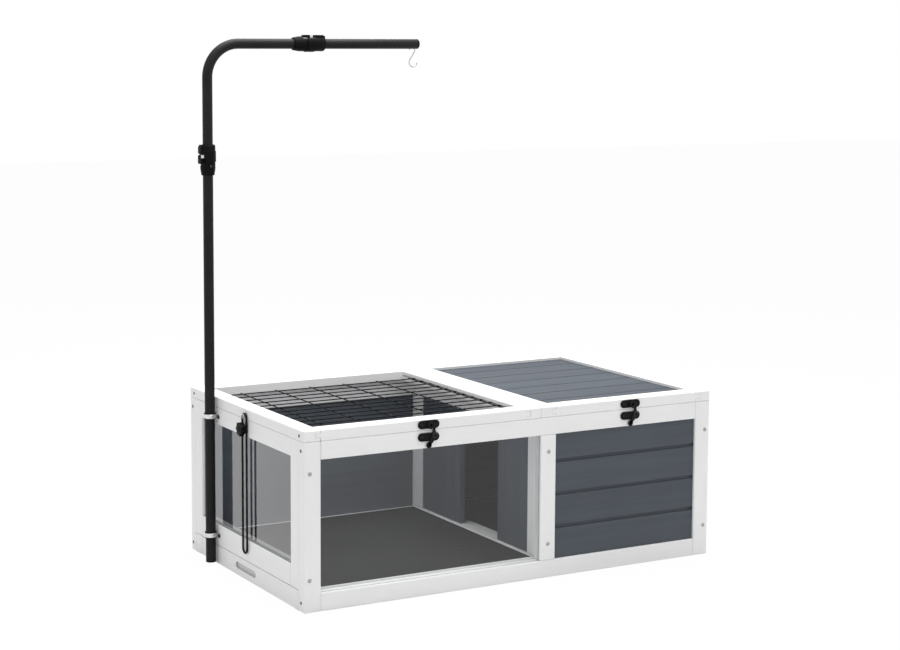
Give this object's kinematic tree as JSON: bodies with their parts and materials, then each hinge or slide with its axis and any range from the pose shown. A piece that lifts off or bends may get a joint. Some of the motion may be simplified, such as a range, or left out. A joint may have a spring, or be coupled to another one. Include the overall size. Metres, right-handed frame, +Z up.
{
  "type": "tortoise house",
  "caption": "Low two-room timber tortoise house with a mesh lid, a roof lid, pull-out trays, acrylic windows and a telescopic lamp pole on its side.",
  "frame": {"origin": "centre of the underside of the divider's bottom rail, on the surface that the house stands on", "axes": "+Z up, +X to the right along the front, +Y from the front to the back"},
  "size_m": [1.0334, 0.5936, 1.1518],
  "materials": {
    "white_paint": "white painted timber, satin",
    "slate_paint": "slate grey painted boards, matte",
    "clear_acrylic": "clear polished acrylic",
    "dark_liner": "dark grey liner, matte",
    "black_metal": "black powder coat, satin",
    "black_plastic": "black moulded plastic",
    "bright_steel": "zinc plated",
    "white_nylon": "white nylon"
  },
  "bodies": {
    "house": {"front_left_post": "white_paint", "front_mid_post": "white_paint", "front_right_post": "white_paint", "front_top_rail": "white_paint", "front_bottom_rail": "white_paint", "rear_frame": "white_paint", "back_panel": "slate_paint", "left_front_stile": "white_paint", "left_rear_stile": "white_paint", "left_lower_rail": "white_paint", "left_top_rail": "white_paint", "right_side_frame": "white_paint", "right_side_boards": "slate_paint", "front_boards": "slate_paint", "front_window": "clear_acrylic", "side_window": "clear_acrylic", "divider_frame": "white_paint", "divider_bottom_rail": "white_paint", "divider_boards": "slate_paint", "front_runner": "white_paint", "rear_runner": "white_paint", "mesh_latch_base": "black_metal", "roof_latch_base": "black_metal", "lower_pole_clip": "bright_steel", "upper_pole_clip": "bright_steel", "pole_lower_tube": "black_metal", "pole_foot_cap": "black_plastic", "pole_clamp_body": "black_plastic", "pole_clamp_pin": "white_nylon"},
    "mesh_lid": {"mesh_lid_left_rail": "white_paint", "mesh_lid_right_rail": "white_paint", "mesh_lid_front_rail": "white_paint", "mesh_lid_rear_rail": "white_paint", "wire_mesh": "black_metal", "mesh_lid_keeper": "black_metal", "mesh_lid_left_hinge": "bright_steel", "mesh_lid_right_hinge": "bright_steel"},
    "roof_lid": {"roof_lid_frame": "white_paint", "roof_boards": "slate_paint", "roof_lid_keeper": "black_metal", "roof_lid_left_hinge": "bright_steel", "roof_lid_right_hinge": "bright_steel"},
    "left_tray": {"left_tray_front": "white_paint", "left_tray_box": "white_paint", "left_tray_liner": "dark_liner"},
    "right_tray": {"right_tray": "white_paint", "right_tray_liner": "dark_liner"},
    "mesh_latch": {"mesh_latch_lever": "black_metal"},
    "roof_latch": {"roof_latch_lever": "black_metal"},
    "stay": {"stay_loop": "black_metal"},
    "knob": {"stay_knob": "black_plastic"},
    "pole_lever": {"pole_clamp_lever": "black_plastic"},
    "swivel": {"swivel_bush": "black_plastic"},
    "mast": {"bent_tube": "black_metal", "arm_clamp_body": "black_plastic", "arm_clamp_pin": "white_nylon"},
    "arm_lever": {"arm_clamp_lever": "black_plastic"},
    "arm": {"arm_tube": "black_metal", "arm_end_cap": "black_plastic"},
    "hook": {"s_hook": "bright_steel"}
  },
  "joints": [
    {"name": "mesh_lid_hinge", "type": "hinge", "parent": "house", "child": "mesh_lid", "pos_m": [-0.298, 0.293, 0.34735], "axis": [-1, 0, 0], "range_deg": [0, 50]},
    {"name": "roof_lid_hinge", "type": "hinge", "parent": "house", "child": "roof_lid", "pos_m": [0.202, 0.293, 0.34735], "axis": [-1, 0, 0], "range_deg": [0, 100]},
    {"name": "left_tray_slide", "type": "slide", "parent": "house", "child": "left_tray", "axis": [-1, 0, 0], "range_m": [0, 0.0025]},
    {"name": "right_tray_slide", "type": "slide", "parent": "house", "child": "right_tray", "axis": [1, 0, 0], "range_m": [0, 0.36]},
    {"name": "mesh_latch_turn", "type": "hinge", "parent": "house", "child": "mesh_latch", "pos_m": [-0.28035, -0.294, 0.3356], "axis": [0, 1, 0], "range_deg": [0, 75]},
    {"name": "roof_latch_turn", "type": "hinge", "parent": "house", "child": "roof_latch", "pos_m": [0.22145, -0.294, 0.3356], "axis": [0, 1, 0], "range_deg": [0, 75]},
    {"name": "stay_swing", "type": "hinge", "parent": "mesh_lid", "child": "stay", "pos_m": [-0.5804, -0.011, 0.3548], "axis": [-1, 0, 0], "range_deg": [-26.5, 0]},
    {"name": "knob_turn", "type": "hinge", "parent": "house", "child": "knob", "pos_m": [-0.58415, -0.011, 0.3275], "axis": [1, 0, 0], "continuous": true},
    {"name": "pole_lever_flip", "type": "hinge", "parent": "house", "child": "pole_lever", "pos_m": [-0.60675, 0.149, 0.8925], "axis": [0, 1, 0], "range_deg": [0, 90]},
    {"name": "pole_swivel", "type": "hinge", "parent": "house", "child": "swivel", "pos_m": [-0.59075, 0.149, 0.905], "axis": [0, 0, 1], "continuous": true},
    {"name": "mast_slide", "type": "slide", "parent": "swivel", "child": "mast", "axis": [0, 0, 1], "range_m": [0, 0.2]},
    {"name": "arm_lever_flip", "type": "hinge", "parent": "mast", "child": "arm_lever", "pos_m": [-0.34825, 0.149, 1.1483], "axis": [0, 1, 0], "range_deg": [0, 90]},
    {"name": "arm_slide", "type": "slide", "parent": "mast", "child": "arm", "axis": [1, 0, 0], "range_m": [0, 0.09]},
    {"name": "hook_swing", "type": "hinge", "parent": "arm", "child": "hook", "pos_m": [-0.08545, 0.149, 1.1219], "axis": [1, 0, 0], "range_deg": [-30, 30]}
  ],
  "couplings": [
    {"joint": "stay_swing", "follows": "mesh_lid_hinge", "ratio": -0.528}
  ]
}
